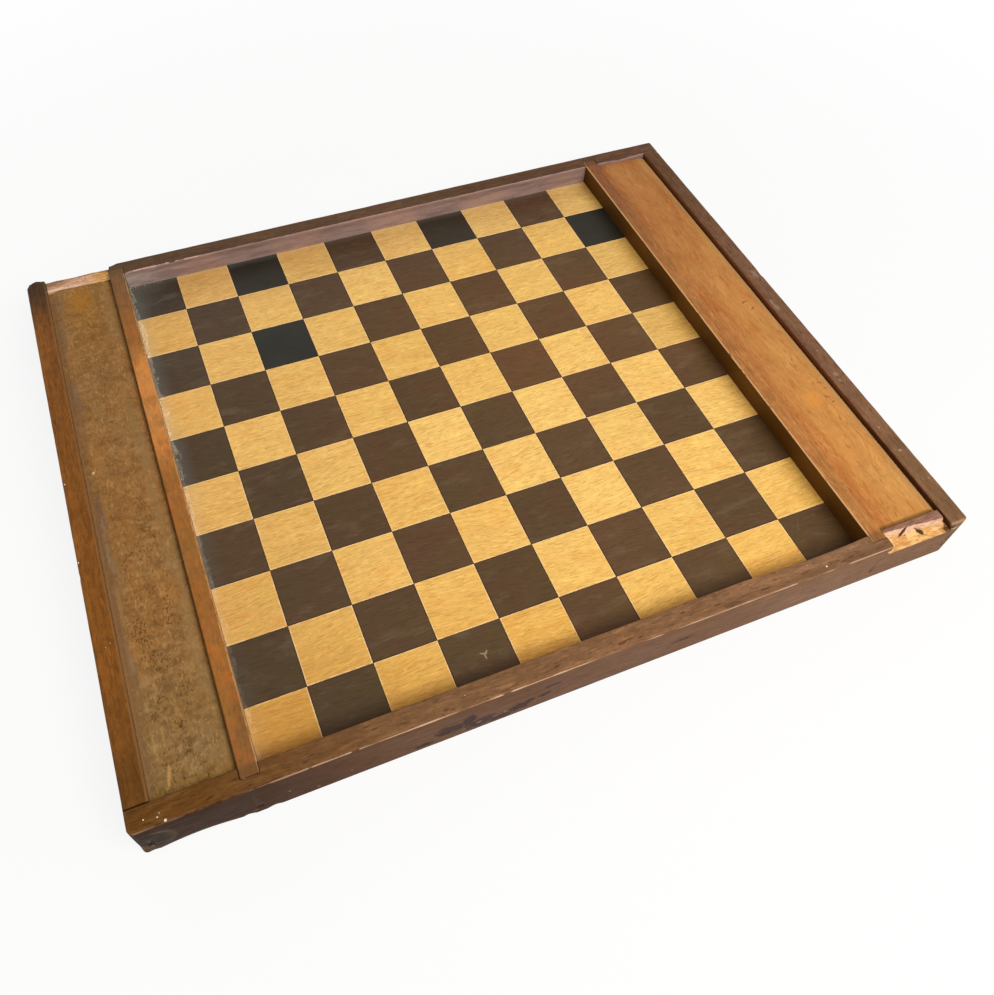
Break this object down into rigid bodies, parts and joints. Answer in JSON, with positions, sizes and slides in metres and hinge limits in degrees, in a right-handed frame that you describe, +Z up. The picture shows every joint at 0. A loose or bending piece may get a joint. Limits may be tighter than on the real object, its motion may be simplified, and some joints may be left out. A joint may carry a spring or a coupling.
{
  "type": "reversible draughts and chess board",
  "caption": "Wooden tray board, chequered for draughts on one face and chess on the other, with a sliding-lid box for the men at each end.",
  "frame": {"origin": "middle of the underside, on the surface that the board lies on", "axes": "+X along the board to its right end, +Y to the back long rail, +Z up out of the draughts face"},
  "size_m": [0.4, 0.315, 0.03],
  "materials": {
    "front_wood": "stained and waxed, worn",
    "dark_wood": "stained dark, waxed, worn",
    "divider_wood": "stained and waxed, worn",
    "core_wood": "bare",
    "light_veneer": "waxed, satin",
    "dark_veneer": "waxed, satin",
    "floor_wood": "thin wax, dull",
    "left_lid_wood": "rough, worn through its wax",
    "right_lid_wood": "waxed, satin",
    "torn_wood": "torn, bare",
    "iron": "rusted"
  },
  "bodies": {
    "frame": {"front_rail": "front_wood", "back_rail": "dark_wood", "left_rail": "front_wood", "right_rail": "dark_wood", "left_divider": "divider_wood", "right_divider": "divider_wood", "panel_core": "core_wood", "draughts_light_squares": "light_veneer", "draughts_dark_squares": "dark_veneer", "chess_light_squares": "light_veneer", "chess_dark_squares": "dark_veneer", "left_floor": "floor_wood", "right_floor": "floor_wood", "front_nails": "iron", "back_nails": "iron"},
    "left_lid": {"left_lid": "left_lid_wood", "left_lid_batten": "torn_wood", "left_lid_brads": "iron"},
    "right_lid": {"right_lid": "right_lid_wood", "right_lid_batten": "torn_wood", "right_lid_brads": "iron"}
  },
  "joints": [
    {"name": "left_lid_slide", "type": "slide", "parent": "frame", "child": "left_lid", "axis": [0, 1, 0], "range_m": [0, 0.31]},
    {"name": "right_lid_slide", "type": "slide", "parent": "frame", "child": "right_lid", "axis": [0, -1, 0], "range_m": [0, 0.31]}
  ]
}
